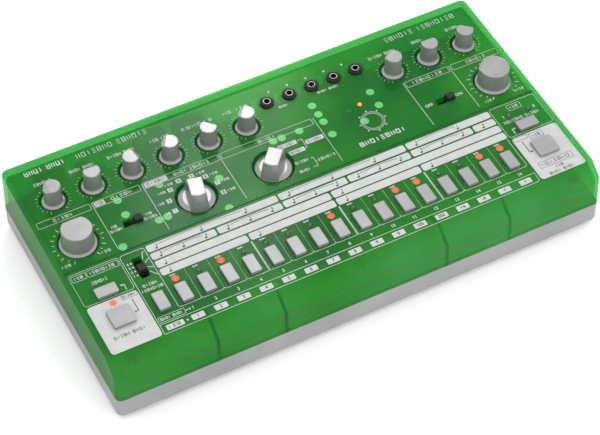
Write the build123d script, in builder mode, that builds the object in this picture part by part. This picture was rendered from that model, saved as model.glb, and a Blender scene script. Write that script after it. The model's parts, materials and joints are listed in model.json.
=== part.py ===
"""Drum machine with a tilted control panel: millimetres, +Z up, front at -Y.

The origin is the centre of the plan outline at the level of the feet's undersides.
"""

import os
from math import cos, radians, sin, tan

from build123d import *

# ---------------------------------------------------------------- driving dimensions

# case
case_width = 305.0
case_depth = 158.8
corner_radius = 4.0
foot_height = 3.0
foot_radius = 6.0
tray_height = 13.94
wall = 2.2
draft_angle = 3.0
side_draft_angle = 0.8
front_wall_rise = 15.9
facet_depth = 11.4
seam_chamfer = 0.3
chamfer_angle = 45.0
tray_fillet = 1.6
rim_fillet = 0.7
lip_thickness = 1.0
lip_height = 2.0
lip_clearance = 0.15

# control panel: a tilted floor sunk between the cheeks, in two levels
panel_tilt = 1.28
lower_panel_height = 43.1
panel_step = 0.75
panel_step_y = -5.2
rim_rise = 1.2
cheek_width = 3.3
back_rim_depth = 7.4
back_rim_slope = 4.0

# fits
running_clearance = 0.05
slip_clearance = 0.3
nose_clearance = 0.15

# boards
board_thickness = 1.6
board_depth = 11.0
board_side_margin = 9.5
board_front_margin = 5.4
board_back_margin = 16.9
rear_board_top = 18.6
rear_board_reach = 39.4
rear_board_left_margin = 16.5
rear_board_right_margin = 36.5

# rotary controls: a grid of columns, with one row of small knobs and one of large ones
knob_left_margin = 19.725
knob_right_margin = 18.525
knob_columns = 12
small_knob_y = 46.5
large_knob_y = 12.5
skirt_thickness = 1.2
skirt_drop = 2.7
flare_neck_rise = 2.4
flare_middle_rise = 1.2
flare_middle_reach = 0.1
flare_foot_rise = 0.45
flare_foot_reach = 0.4
skirt_edge_drop = 0.45
knob_edge = 0.5
selector_dome_height = 1.1
selector_dome_inset = 2.6
small_knob_rise = 12.5
small_skirt_radius = 6.65
small_well_radius = 8.3
small_neck_radius = 5.05
small_top_radius = 4.95
small_flat_offset = 2.5
large_knob_rise = 12.3
large_skirt_radius = 10.65
large_well_radius = 12.0
large_neck_radius = 9.1
large_top_radius = 8.8
large_flat_offset = 6.5
selector_rise = 9.2
selector_skirt_radius = 10.6
selector_well_radius = 12.5
selector_bar_width = 10.9
selector_bar_length = 20.8
selector_top_width = 8.7
selector_top_length = 14.8
selector_top_end = 5.9
shaft_radius = 3.0
shaft_end_depth = 9.6
shaft_reach = 6.0
pot_width = 9.5
pot_length = 11.0
pot_height = 6.4
pot_collar_radius = 4.4
pot_collar_height = 1.0
rotary_switch_size = 15.0

# the pointer directions at rest, clockwise from straight back, in degrees
small_knobs = {
    "knob_accent": (0, -90),
    "knob_bass": (1, 0),
    "knob_snare": (2, 85),
    "knob_tom": (3, -60),
    "knob_cymbal": (4, 46),
    "knob_hat": (5, -50),
    "knob_drive": (9, -35),
    "knob_tone": (10, 0),
    "knob_level": (11, 40),
}
large_knobs = {
    "tempo_knob": (0, 0),
    "volume_knob": (11, -50),
}
selectors = {
    "instrument_selector": (3, 13),
    "mode_selector": (5, 42),
}

# push buttons
step_count = 16
step_left_margin = 56.4
step_right_margin = 42.8
step_button_y = -46.4
step_button_width = 6.8
step_button_length = 12.5
wide_button_width = 12.9
wide_button_length = 12.2
short_button_width = 12.7
short_button_length = 6.9
button_rise = 2.2
button_fillet = 0.6
button_edge = 0.4
button_hole_gap = 0.35
button_flange = 0.9
button_flange_thickness = 1.0
button_flange_gap = 0.25
side_button_margin = 19.2
start_button_y = -46.2
short_button_y = -26.7
plunger_radius = 1.75
plunger_depth = 9.1
switch_size = 6.0
switch_height = 4.0
switch_bore_depth = 2.9

# lamps
lamp_radius = 1.4
lamp_hole_radius = 1.6
lamp_base_radius = 2.1
lamp_base_height = 5.6
lamp_rise = 1.0
step_lamp_y = -35.8
start_lamp = (-133.2, -35.5)
group_lamps = ((127.5, -16.1), (140.4, -16.1))
drive_lamp = (55.0, 31.8)

# slide switches: a lever in a slot, on a can with a groove for its tongue
voice_switch = (-99.5, 12.3)
drive_switch = (101.3, 12.3)
scale_switch_offset = 0.27
scale_switch_y = -19.8
lever_length = 4.6
lever_rise = 2.4
lever_side_gap = 0.3
lever_shoulder_depth = 5.3
lever_tongue_size = 2.2
lever_tongue_depth = 7.4
level_slot_length = 11.6
level_slot_width = 4.7
scale_slot_length = 14.8
scale_slot_width = 5.3
scale_switch_pitch = 2.93
scale_switch_places = 4
scale_switch_rest = 1
slide_can_width = 7.0
slide_can_height = 5.0
slide_can_margin = 4.0
slide_groove_depth = 2.4

# sockets in the panel
panel_jack_count = 5
panel_jack_pitch = 14.7
panel_jack_first_x = 7.1
panel_jack_y = 57.2
jack_body_size = 9.0
jack_seat_gap = 0.2
jack_bore_radius = 1.8
jack_bush_radius = 3.0
jack_bush_rise = 1.9
jack_nut_radius = 4.3
jack_nut_height = 1.5
nut_chamfer = 0.4
plug_tip_radius = 2.2

# sockets in the back wall
rear_face_setback = 0.7
rear_body_setback = 2.6
rear_jack_count = 8
rear_jack_right_margin = 53.5
midi_jack_spacing = 31.0
rear_jack_width = 10.0
rear_jack_height = 11.0
rear_jack_depth = 13.0
rear_jack_nose_radius = 4.0
rear_jack_axis_height = 6.2
dc_midi_spacing = 42.0
midi_spacing = 25.0
midi_body_width = 19.0
midi_body_height = 18.0
midi_body_depth = 13.0
midi_nose_radius = 8.2
midi_groove_radius = 6.8
midi_core_radius = 5.7
midi_groove_depth = 8.0
midi_pin_radius = 0.8
midi_pin_circle = 3.9
midi_key_width = 2.4
dc_usb_spacing = 18.0
usb_width = 12.0
usb_height = 11.0
usb_depth = 15.0
usb_mouth_width = 8.5
usb_mouth_height = 7.8
usb_cavity_depth = 9.0
usb_tongue_width = 5.6
usb_tongue_height = 3.2
usb_tongue_depth = 7.4
power_dc_spacing = 20.0
dc_width = 9.0
dc_height = 11.0
dc_depth = 14.0
dc_nose_radius = 4.0
dc_bore_radius = 2.9
dc_pin_radius = 1.0
dc_bore_depth = 9.5
dc_axis_height = 6.5

# power switch in the back wall
power_margin = 28.5
power_axis_height = 7.2
power_body_width = 18.0
power_body_height = 11.6
power_body_depth = 13.0
power_mouth_width = 14.4
power_mouth_height = 8.2
power_mouth_depth = 7.6
rocker_half_length = 6.3
rocker_height = 7.6
rocker_crown = 3.5
rocker_waist = 2.3
rocker_tilt = 7.0
rocker_pivot_depth = 4.5
rocker_pivot_radius = 1.2
rocker_pivot_length = 1.2

# screws, posts and feet
screw_radius = 1.5
screw_head_radius = 2.8
screw_head_height = 1.8
screw_thread_gap = 0.04
boss_radius = 3.6
boss_hole_gap = 0.5
front_screw_side_margin = 14.5
front_screw_margin = 9.9
back_screw_side_margin = 11.5
back_screw_margin = 19.4
case_screw_length = 16.0
case_screw_recess = 2.6
board_screw_side_margin = 14.5
board_screw_middle_x = 48.4
board_screw_y = (-61.0, 33.0)
board_screw_length = 8.0
rear_screw_edge_margin = 7.0
rear_screw_middle_x = -12.0
rear_screw_front_margin = 5.0
foot_side_margin = 28.5
foot_end_margin = 19.4

# ribs inside the front wall
rib_places = (50.5, 91.5)
rib_thickness = 1.4
rib_reach = 1.8
foot_chamfer = 0.6
screw_tip_gap = 0.5

# parts on the main board
can_radius = 2.5
can_height = 7.0
can_places = (
    (31.4, 46.6),
    (31.6, 39.0),
    (31.6, 32.6),
    (31.6, 21.7),
    (15.6, 32.6),
    (4.1, 32.5),
    (-1.5, 32.5),
    (-41.6, 21.7),
    (-46.0, -0.6),
    (-100.0, 21.5),
    (-79.6, 9.4),
    (-84.9, 9.4),
    (-73.9, 32.8),
    (-99.8, 32.9),
    (-111.0, 1.2),
    (67.0, 40.7),
    (66.7, 29.4),
    (53.3, 22.0),
)
chip_thickness = 1.4
chip_sizes = {
    (-30.0, -20.0): (20.0, 20.0),
    (10.0, -20.0): (14.0, 14.0),
    (60.0, -24.0): (18.0, 10.0),
    (-80.0, -24.0): (18.0, 10.0),
    (80.0, 22.0): (10.0, 6.0),
    (-20.0, 30.0): (10.0, 6.0),
}

# ribbon cable between the boards, as points in a plane of constant X
ribbon_x = 44.0
ribbon_width = 16.0
ribbon_thickness = 1.0
ribbon_start_y = 10.0
ribbon_floor_gap = 6.4
ribbon_turn_reach = 16.0
ribbon_climb_reach = 8.0
ribbon_end_depth = 5.6
ribbon_end_rise = 2.0
ribbon_plug_overlap = 1.4
ribbon_plug_length = 20.0
ribbon_plug_depth = 5.0
ribbon_plug_height = 5.0
ribbon_run_share = 0.45

# ---------------------------------------------------------------- derived places

seam_height = foot_height + tray_height
half_depth = case_depth / 2
half_width = case_width / 2
recess_half_width = half_width - cheek_width
recess_back_y = half_depth - back_rim_depth
crease_y = -half_depth + facet_depth
knob_pitch = (case_width - knob_left_margin - knob_right_margin) / (knob_columns - 1)
step_pitch = (case_width - step_left_margin - step_right_margin) / (step_count - 1)
first_step_x = step_left_margin - half_width
side_button_x = half_width - side_button_margin
scale_switch = (first_step_x - step_pitch + scale_switch_offset, scale_switch_y)
power_x = power_margin - half_width
dc_x = power_x + power_dc_spacing
usb_x = dc_x + dc_usb_spacing
midi_socket_x = (dc_x + dc_midi_spacing, dc_x + dc_midi_spacing + midi_spacing)
rear_jack_first_x = midi_socket_x[-1] + midi_jack_spacing
rear_jack_pitch = (half_width - rear_jack_right_margin - rear_jack_first_x) / (rear_jack_count - 1)
board_front_y = board_front_margin - half_depth
board_back_y = half_depth - board_back_margin
rear_board_front_y = half_depth - rear_board_reach
rear_board_left_x = rear_board_left_margin - half_width
rear_board_right_x = half_width - rear_board_right_margin
front_screw_x = half_width - front_screw_side_margin
front_screw_y = front_screw_margin - half_depth
back_screw_x = half_width - back_screw_side_margin
back_screw_y = half_depth - back_screw_margin
case_screw_places = (
    (-front_screw_x, front_screw_y),
    (0.0, front_screw_y),
    (front_screw_x, front_screw_y),
    (-back_screw_x, back_screw_y),
    (back_screw_x, back_screw_y),
)
board_screw_x = (
    board_screw_side_margin - half_width,
    -board_screw_middle_x,
    board_screw_middle_x,
    half_width - board_screw_side_margin,
)
rear_screw_y = rear_board_front_y + rear_screw_front_margin
rear_screw_places = (
    (rear_board_left_x + rear_screw_edge_margin, rear_screw_y),
    (rear_screw_middle_x, rear_screw_y),
    (rear_board_right_x - rear_screw_edge_margin, rear_screw_y),
)
slope = tan(radians(panel_tilt))
panel_normal = (0, -sin(radians(panel_tilt)), cos(radians(panel_tilt)))
cut_margin = 1.0
lip_inset = wall + lip_height * tan(radians(draft_angle)) + lip_clearance

lower_panel = Plane(origin=(0, 0, lower_panel_height), x_dir=(1, 0, 0), z_dir=panel_normal)
upper_panel = lower_panel.offset(-panel_step)
panel_axis = Axis(lower_panel.origin, lower_panel.z_dir)
board_top = upper_panel.offset(-board_depth)
board_under = board_top.offset(-board_thickness)
lower_board_depth = board_depth + panel_step
switch_top_depth = lower_board_depth - switch_height


def panel_height(y):
    """Height of the lower panel level at y."""
    return lower_panel_height + slope * y


def upper_height(y):
    """Height of the upper panel level at y."""
    return panel_height(y) - panel_step / cos(radians(panel_tilt))


def rounded_outline(inset, mode=Mode.ADD):
    """The plan outline of the case, moved inwards."""
    RectangleRounded(
        case_width - 2 * inset,
        case_depth - 2 * inset,
        corner_radius - inset,
        mode=mode,
    )


def column_x(column):
    """X of a column of the knob grid."""
    return knob_left_margin + knob_pitch * column - case_width / 2


def at_panel(plane, x, y):
    """The panel's plane moved to a place on it, with its normal along the panel's."""
    return Plane(origin=plane.from_local_coords((x, y, 0)), x_dir=plane.x_dir, z_dir=plane.z_dir)


def turned(plane, clockwise):
    """A plane whose Y points in a knob's pointer direction."""
    x_dir = plane.x_dir.rotate(Axis((0, 0, 0), plane.z_dir), -clockwise)
    return Plane(origin=plane.origin, x_dir=x_dir, z_dir=plane.z_dir)


def save(builder, name):
    """Label a finished piece and write it."""
    builder.part.label = name
    export_step(builder.part, f"parts/{name}.step")


step_places = [(first_step_x + step_pitch * i, step_button_y) for i in range(step_count)]
function_place = (first_step_x - step_pitch, step_button_y)
narrow_buttons = {f"step_button_{i + 1:02d}": place for i, place in enumerate(step_places)}
narrow_buttons["function_button"] = function_place
wide_buttons = {
    "start_button": (-side_button_x, start_button_y),
    "tap_button": (side_button_x, start_button_y),
}
short_buttons = {
    "clear_button": (-side_button_x, short_button_y),
    "group_button": (side_button_x, short_button_y),
}
button_kinds = (
    (narrow_buttons, step_button_width, step_button_length),
    (wide_buttons, wide_button_width, wide_button_length),
    (short_buttons, short_button_width, short_button_length),
)
all_buttons = {**narrow_buttons, **wide_buttons, **short_buttons}
lower_lamps = [(x, step_lamp_y) for x, _ in step_places] + [start_lamp, *group_lamps]
panel_jack_places = [
    (panel_jack_first_x + panel_jack_pitch * i, panel_jack_y) for i in range(panel_jack_count)
]
board_screw_places = [(x, y) for x in board_screw_x for y in board_screw_y]
rear_face_y = half_depth - rear_face_setback
rear_jack_places = [rear_jack_first_x + rear_jack_pitch * i for i in range(rear_jack_count)]
rotary_places = {
    "small": [(column_x(column), small_knob_y) for column, _ in small_knobs.values()],
    "large": [(column_x(column), large_knob_y) for column, _ in large_knobs.values()],
    "selector": [(column_x(column), large_knob_y) for column, _ in selectors.values()],
}


well_radii = {
    "small": small_well_radius,
    "large": large_well_radius,
    "selector": selector_well_radius,
}
rear_board_back_y = half_depth - lip_inset - lip_thickness - slip_clearance
rear_board_centre = (
    (rear_board_left_x + rear_board_right_x) / 2,
    (rear_board_front_y + rear_board_back_y) / 2,
)
rear_board_width = rear_board_right_x - rear_board_left_x
rib_centre_y = -half_depth + wall + rib_reach / 2
case_screw_total = seam_height - foot_height - case_screw_recess + case_screw_length - screw_tip_gap


def rear_plane(x, rise):
    """A plane on the sockets' front faces, at a height above the rear board, facing back."""
    return Plane(origin=(x, rear_face_y, rear_board_top + rise), x_dir=(-1, 0, 0), z_dir=(0, 1, 0))


os.makedirs("parts", exist_ok=True)

# ---------------------------------------------------------------- bottom shell

floor_top = foot_height + wall

with BuildPart() as bottom_shell:
    with BuildSketch(Plane.XY.offset(foot_height)):
        rounded_outline(0)
    extrude(amount=tray_height)
    fillet(bottom_shell.faces().sort_by(Axis.Z)[0].edges(), tray_fillet)
    chamfer(bottom_shell.faces().sort_by(Axis.Z)[-1].edges(), seam_chamfer)
    with BuildSketch(Plane.XY.offset(floor_top)):
        rounded_outline(wall)
    extrude(amount=tray_height, mode=Mode.SUBTRACT)
    # lip that locates the upper shell, on a ledge inside the wall
    with BuildSketch(Plane.XY.offset(seam_height - lip_height)):
        rounded_outline(wall)
        rounded_outline(lip_inset + lip_thickness, mode=Mode.SUBTRACT)
    extrude(amount=lip_height)
    with BuildSketch(Plane.XY.offset(seam_height)):
        rounded_outline(lip_inset)
        rounded_outline(lip_inset + lip_thickness, mode=Mode.SUBTRACT)
    extrude(amount=lip_height)
    # the lip stops short of the sockets in the back wall
    with BuildSketch(Plane.XY.offset(seam_height)):
        with Locations((rear_board_centre[0], half_depth)):
            Rectangle(rear_board_width, 2 * (half_depth - rear_board_back_y))
    extrude(amount=2 * lip_height, mode=Mode.SUBTRACT)
    # posts that the case screws clamp, and posts under the rear board
    with BuildSketch(Plane.XY.offset(floor_top)):
        with Locations(*case_screw_places):
            Circle(boss_radius)
    extrude(amount=seam_height - floor_top)
    with BuildSketch(Plane.XY.offset(floor_top)):
        with Locations(*rear_screw_places):
            Circle(boss_radius)
    extrude(amount=rear_board_top - board_thickness - floor_top)
    with BuildSketch(Plane.XY.offset(foot_height)):
        with Locations(*case_screw_places):
            Circle(screw_radius + slip_clearance)
    extrude(amount=tray_height, mode=Mode.SUBTRACT)
    with BuildSketch(Plane.XY.offset(foot_height)):
        with Locations(*case_screw_places):
            Circle(screw_head_radius + slip_clearance)
    extrude(amount=case_screw_recess, mode=Mode.SUBTRACT)
    with BuildSketch(Plane.XY.offset(rear_board_top - board_thickness)):
        with Locations(*rear_screw_places):
            Circle(screw_radius + screw_thread_gap)
    extrude(amount=-board_screw_length, mode=Mode.SUBTRACT)
save(bottom_shell, "bottom_shell")

# ---------------------------------------------------------------- top shell

def drafted_outline(inset, foot_z, rise):
    """The inside of the case's plan outline, drafted inwards as it rises."""
    side_lean = rise * tan(radians(side_draft_angle))
    end_lean = rise * tan(radians(draft_angle))
    with BuildSketch(Plane.XY.offset(foot_z)) as foot:
        rounded_outline(inset)
    with BuildSketch(Plane.XY.offset(foot_z + rise)) as crown:
        RectangleRounded(
            case_width - 2 * (inset + side_lean),
            case_depth - 2 * (inset + end_lean),
            corner_radius - inset,
        )
    loft([foot.sketch, crown.sketch])


shell_rise = panel_height(half_depth) + rim_rise - seam_height
facet_foot = seam_height + front_wall_rise
facet_slope = (panel_height(crease_y) - facet_foot) / facet_depth
rim_front_y = crease_y + rim_rise / (facet_slope - slope)

with BuildPart() as shell_form:
    with BuildSketch(Plane.XY.offset(seam_height)):
        rounded_outline(seam_chamfer)
    extrude(amount=seam_chamfer, taper=-chamfer_angle)
    drafted_outline(0, seam_height + seam_chamfer, shell_rise + cut_margin)
    with BuildSketch(Plane.YZ):
        with BuildLine():
            Polyline(
                (-half_depth, seam_height),
                (-half_depth, facet_foot),
                (rim_front_y, panel_height(rim_front_y) + rim_rise),
                (half_depth, panel_height(half_depth) + rim_rise),
                (half_depth, seam_height),
                close=True,
            )
        make_face()
    extrude(amount=case_width, both=True, mode=Mode.INTERSECT)

with BuildPart() as shell_cavity:
    drafted_outline(wall, seam_height, shell_rise)
    with BuildSketch(Plane.YZ):
        with BuildLine():
            Polyline(
                (-half_depth, seam_height - 2 * wall),
                (-half_depth, facet_foot),
                (crease_y, panel_height(crease_y)),
                (panel_step_y, panel_height(panel_step_y)),
                (panel_step_y, upper_height(panel_step_y)),
                (half_depth, upper_height(half_depth)),
                (half_depth, seam_height - 2 * wall),
                close=True,
            )
        make_face()
        offset(amount=-wall, kind=Kind.INTERSECTION)
    extrude(amount=case_width, both=True, mode=Mode.INTERSECT)

with BuildPart() as top_shell:
    add(shell_form.part)
    rim_edges = top_shell.faces().sort_by(Axis.Z)[-1].edges()
    fillet(rim_edges, rim_fillet)
    # the sunk panel: open at the crease in front, with a sloped wall at the back
    with BuildSketch(Plane.YZ):
        with BuildLine():
            Polyline(
                (-half_depth, panel_height(-half_depth)),
                (panel_step_y, panel_height(panel_step_y)),
                (panel_step_y, upper_height(panel_step_y)),
                (recess_back_y, upper_height(recess_back_y)),
                (recess_back_y + back_rim_slope, panel_height(recess_back_y) + rim_rise + slope),
                (recess_back_y + back_rim_slope, panel_height(half_depth) + 3 * rim_rise),
                (-half_depth, panel_height(half_depth) + 3 * rim_rise),
                close=True,
            )
        make_face()
    extrude(amount=recess_half_width, both=True, mode=Mode.SUBTRACT)
    add(shell_cavity.part, mode=Mode.SUBTRACT)
    # ribs inside the front wall
    with BuildSketch(Plane.XY.offset(seam_height + lip_height + slip_clearance)):
        with Locations(*[(side * x, rib_centre_y) for x in rib_places for side in (-1, 1)]):
            Rectangle(rib_thickness, rib_reach)
    extrude(amount=front_wall_rise - lip_height)
    # bosses that the case screws and the main board's screws bite in
    with BuildSketch(Plane.XY.offset(seam_height)):
        with Locations(*case_screw_places):
            Circle(boss_radius)
    extrude(until=Until.NEXT)
    with BuildSketch(board_top):
        with Locations(*board_screw_places):
            Circle(boss_radius)
    extrude(until=Until.NEXT)
    with BuildSketch(Plane.XY.offset(seam_height)):
        with Locations(*case_screw_places):
            Circle(screw_radius + screw_thread_gap)
    extrude(amount=case_screw_length, mode=Mode.SUBTRACT)
    with BuildSketch(board_top):
        with Locations(*board_screw_places):
            Circle(screw_radius + screw_thread_gap)
    extrude(amount=board_screw_length, mode=Mode.SUBTRACT)
    # wells of the rotary controls, sockets and lamp of the upper level
    with BuildSketch(upper_panel.offset(cut_margin)):
        for kind, radius in well_radii.items():
            with Locations(*rotary_places[kind]):
                Circle(radius)
        with Locations(*panel_jack_places):
            Circle(jack_bush_radius + nose_clearance)
        with Locations(drive_lamp):
            Circle(lamp_hole_radius)
        with Locations(voice_switch, drive_switch):
            Rectangle(level_slot_length, level_slot_width)
    extrude(amount=-(wall + 2 * cut_margin), mode=Mode.SUBTRACT)
    # button, lamp and switch openings of the lower level
    with BuildSketch(lower_panel.offset(cut_margin)):
        for places, button_width, button_length in button_kinds:
            with Locations(*places.values()):
                RectangleRounded(
                    button_width + 2 * button_hole_gap,
                    button_length + 2 * button_hole_gap,
                    button_fillet + button_hole_gap,
                )
        with Locations(*lower_lamps):
            Circle(lamp_hole_radius)
        with Locations(scale_switch):
            Rectangle(scale_slot_width, scale_slot_length)
    extrude(amount=-(wall + 2 * cut_margin), mode=Mode.SUBTRACT)
    # openings of the back wall
    for x in rear_jack_places:
        with BuildSketch(rear_plane(x, rear_jack_axis_height)):
            Circle(rear_jack_nose_radius + nose_clearance)
        extrude(amount=wall + cut_margin, both=True, mode=Mode.SUBTRACT)
    for x in midi_socket_x:
        with BuildSketch(rear_plane(x, midi_body_height / 2)):
            Circle(midi_nose_radius + nose_clearance)
        extrude(amount=wall + cut_margin, both=True, mode=Mode.SUBTRACT)
    with BuildSketch(rear_plane(usb_x, usb_height / 2)):
        Rectangle(usb_width + 2 * nose_clearance, usb_height + 2 * nose_clearance)
    extrude(amount=wall + cut_margin, both=True, mode=Mode.SUBTRACT)
    with BuildSketch(rear_plane(dc_x, dc_axis_height)):
        Circle(dc_nose_radius + nose_clearance)
    extrude(amount=wall + cut_margin, both=True, mode=Mode.SUBTRACT)
    with BuildSketch(rear_plane(power_x, power_axis_height)):
        Rectangle(power_body_width + 2 * nose_clearance, power_body_height + 2 * nose_clearance)
    extrude(amount=wall + cut_margin, both=True, mode=Mode.SUBTRACT)
save(top_shell, "top_shell")

# ---------------------------------------------------------------- main board

board_width = case_width - 2 * board_side_margin
board_length = board_back_y - board_front_y

with BuildPart() as panel_board:
    with BuildSketch(board_top):
        with Locations((0, (board_front_y + board_back_y) / 2)):
            Rectangle(board_width, board_length)
        with Locations(*board_screw_places):
            Circle(screw_radius + slip_clearance, mode=Mode.SUBTRACT)
        with Locations(*case_screw_places):
            Circle(boss_radius + boss_hole_gap, mode=Mode.SUBTRACT)
        with Locations(*panel_jack_places):
            Circle(plug_tip_radius, mode=Mode.SUBTRACT)
    extrude(amount=-board_thickness)
save(panel_board, "panel_board")

with BuildPart() as capacitors:
    with BuildSketch(board_top):
        with Locations(*can_places):
            Circle(can_radius)
    extrude(amount=can_height)
save(capacitors, "capacitors")

with BuildPart() as chips:
    with BuildSketch(board_under):
        for place, (chip_width, chip_length) in chip_sizes.items():
            with Locations(place):
                Rectangle(chip_width, chip_length)
    extrude(amount=-chip_thickness)
save(chips, "chips")

# ---------------------------------------------------------------- rear board


with BuildPart() as rear_board:
    with BuildSketch(Plane.XY.offset(rear_board_top)):
        with Locations(rear_board_centre):
            Rectangle(rear_board_width, rear_board_back_y - rear_board_front_y)
        with Locations(*rear_screw_places):
            Circle(screw_radius + slip_clearance, mode=Mode.SUBTRACT)
    extrude(amount=-board_thickness)
save(rear_board, "rear_board")

# ---------------------------------------------------------------- screws

with BuildPart() as case_screws:
    with BuildSketch(Plane.XY.offset(foot_height + case_screw_recess)):
        with Locations(*case_screw_places):
            Circle(screw_head_radius)
    extrude(amount=-screw_head_height)
    with BuildSketch(Plane.XY.offset(foot_height + case_screw_recess)):
        with Locations(*case_screw_places):
            Circle(screw_radius)
    extrude(amount=case_screw_total)
save(case_screws, "case_screws")

with BuildPart() as board_screws:
    with BuildSketch(board_under):
        with Locations(*board_screw_places):
            Circle(screw_head_radius)
    extrude(amount=-screw_head_height)
    with BuildSketch(board_under):
        with Locations(*board_screw_places):
            Circle(screw_radius)
    extrude(amount=board_thickness + board_screw_length - screw_tip_gap)
    with BuildSketch(Plane.XY.offset(rear_board_top)):
        with Locations(*rear_screw_places):
            Circle(screw_head_radius)
    extrude(amount=screw_head_height)
    with BuildSketch(Plane.XY.offset(rear_board_top)):
        with Locations(*rear_screw_places):
            Circle(screw_radius)
    extrude(amount=-(board_thickness + board_screw_length - screw_tip_gap))
save(board_screws, "board_screws")

with BuildPart() as rubber_feet:
    with BuildSketch():
        with GridLocations(case_width - 2 * foot_side_margin, case_depth - 2 * foot_end_margin, 2, 2):
            Circle(foot_radius)
    extrude(amount=foot_height)
    chamfer(rubber_feet.faces().filter_by(Axis.Z).group_by(Axis.Z)[0].edges(), foot_chamfer)
save(rubber_feet, "rubber_feet")

# ---------------------------------------------------------------- rotary controls


def cut_flat(plane, offset_from_axis, outer_radius, rise):
    """Slope off a knob's top edge on its pointer side, at 45 degrees."""
    reach = outer_radius + cut_margin
    with BuildSketch(Plane(origin=plane.origin, x_dir=plane.y_dir, z_dir=plane.x_dir)) as flat:
        with BuildLine():
            Polyline(
                (offset_from_axis, rise),
                (reach, rise),
                (reach, rise - reach + offset_from_axis),
                close=True,
            )
        make_face()
    extrude(flat.sketch, amount=reach, both=True, mode=Mode.SUBTRACT)


def bore_and_shaft(plane):
    """The hollow of a knob, and the metal shaft that stands in it."""
    with BuildSketch(plane.offset(-skirt_drop)) as hollow:
        Circle(shaft_radius + screw_thread_gap)
    extrude(hollow.sketch, amount=skirt_drop + shaft_reach, mode=Mode.SUBTRACT)
    with BuildSketch(plane.offset(-shaft_end_depth)) as shaft:
        Circle(shaft_radius)
    extrude(shaft.sketch, amount=shaft_end_depth + shaft_reach - slip_clearance)


def round_knob(name, x, y, clockwise, skirt_radius, neck_radius, top_radius, rise, flat_offset):
    """A turned knob that flares to a sloping skirt, with a flat that points, and its shaft."""
    plane = turned(at_panel(upper_panel, x, y), clockwise)
    section = Plane(origin=plane.origin, x_dir=plane.x_dir, z_dir=-plane.y_dir)
    skirt_corner = (skirt_radius, -skirt_edge_drop)
    flare_foot = (neck_radius + flare_foot_reach, flare_foot_rise)
    neck = (neck_radius, flare_neck_rise)
    with BuildPart() as knob:
        with BuildSketch(section) as profile:
            with BuildLine():
                Polyline(neck, (top_radius, rise), (0, rise), (0, -skirt_drop))
                Polyline((0, -skirt_drop), (skirt_radius, -skirt_drop), skirt_corner, flare_foot)
                ThreePointArc(flare_foot, (neck_radius + flare_middle_reach, flare_middle_rise), neck)
            make_face()
        revolve(profile.sketch, axis=Axis(plane.origin, plane.z_dir))
        cut_flat(plane, flat_offset, neck_radius, rise)
        fillet(knob.faces().sort_by(panel_axis)[-1].edges(), knob_edge)
        bore_and_shaft(plane)
    save(knob, name)


for knob_name, (column, clockwise) in small_knobs.items():
    round_knob(
        knob_name,
        column_x(column),
        small_knob_y,
        clockwise,
        small_skirt_radius,
        small_neck_radius,
        small_top_radius,
        small_knob_rise,
        small_flat_offset,
    )

for knob_name, (column, clockwise) in large_knobs.items():
    round_knob(
        knob_name,
        column_x(column),
        large_knob_y,
        clockwise,
        large_skirt_radius,
        large_neck_radius,
        large_top_radius,
        large_knob_rise,
        large_flat_offset,
    )


def selector_knob(name, x, y, clockwise):
    """A bar-shaped pointer on a round skirt, and its shaft."""
    plane = turned(at_panel(upper_panel, x, y), clockwise)
    with BuildPart() as knob:
        with BuildSketch(plane.offset(skirt_thickness - skirt_drop)):
            Circle(selector_bar_length / 2)
            Rectangle(selector_bar_width, selector_bar_length, mode=Mode.INTERSECT)
        with BuildSketch(plane.offset(selector_rise)):
            Circle(selector_top_length / 2)
            Rectangle(selector_top_width, selector_top_length, mode=Mode.INTERSECT)
            with Locations((0, selector_top_end + selector_top_length / 2)):
                Rectangle(selector_top_length, selector_top_length, mode=Mode.SUBTRACT)
        loft()
        fillet(knob.faces().sort_by(panel_axis)[-1].edges(), knob_edge)
        with BuildSketch(plane.offset(-skirt_drop)):
            Circle(selector_skirt_radius)
        extrude(amount=skirt_thickness)
        with BuildSketch(plane.offset(skirt_thickness - skirt_drop)):
            Circle(selector_skirt_radius)
        with BuildSketch(plane.offset(skirt_thickness - skirt_drop + selector_dome_height)):
            Circle(selector_skirt_radius - selector_dome_inset)
        loft()
        bore_and_shaft(plane)
    save(knob, name)


for knob_name, (column, clockwise) in selectors.items():
    selector_knob(knob_name, column_x(column), large_knob_y, clockwise)


def shaft_bores(places):
    """Blind bores that the knobs' shafts turn in."""
    with BuildSketch(upper_panel.offset(-shaft_end_depth - slip_clearance)) as bores:
        with Locations(*places):
            Circle(shaft_radius + running_clearance)
    extrude(bores.sketch, amount=board_depth, mode=Mode.SUBTRACT)


with BuildPart() as potentiometers:
    with BuildSketch(board_top):
        with Locations(*rotary_places["small"], *rotary_places["large"]):
            Rectangle(pot_width, pot_length)
    extrude(amount=pot_height)
    with BuildSketch(board_top.offset(pot_height)):
        with Locations(*rotary_places["small"], *rotary_places["large"]):
            Circle(pot_collar_radius)
    extrude(amount=pot_collar_height)
    shaft_bores(rotary_places["small"] + rotary_places["large"])
save(potentiometers, "potentiometers")

with BuildPart() as rotary_switches:
    with BuildSketch(board_top):
        with Locations(*rotary_places["selector"]):
            Rectangle(rotary_switch_size, rotary_switch_size)
    extrude(amount=pot_height)
    with BuildSketch(board_top.offset(pot_height)):
        with Locations(*rotary_places["selector"]):
            Circle(pot_collar_radius)
    extrude(amount=pot_collar_height)
    shaft_bores(rotary_places["selector"])
save(rotary_switches, "rotary_switches")

# ---------------------------------------------------------------- push buttons

flange_depth = wall + button_flange_gap


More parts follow.
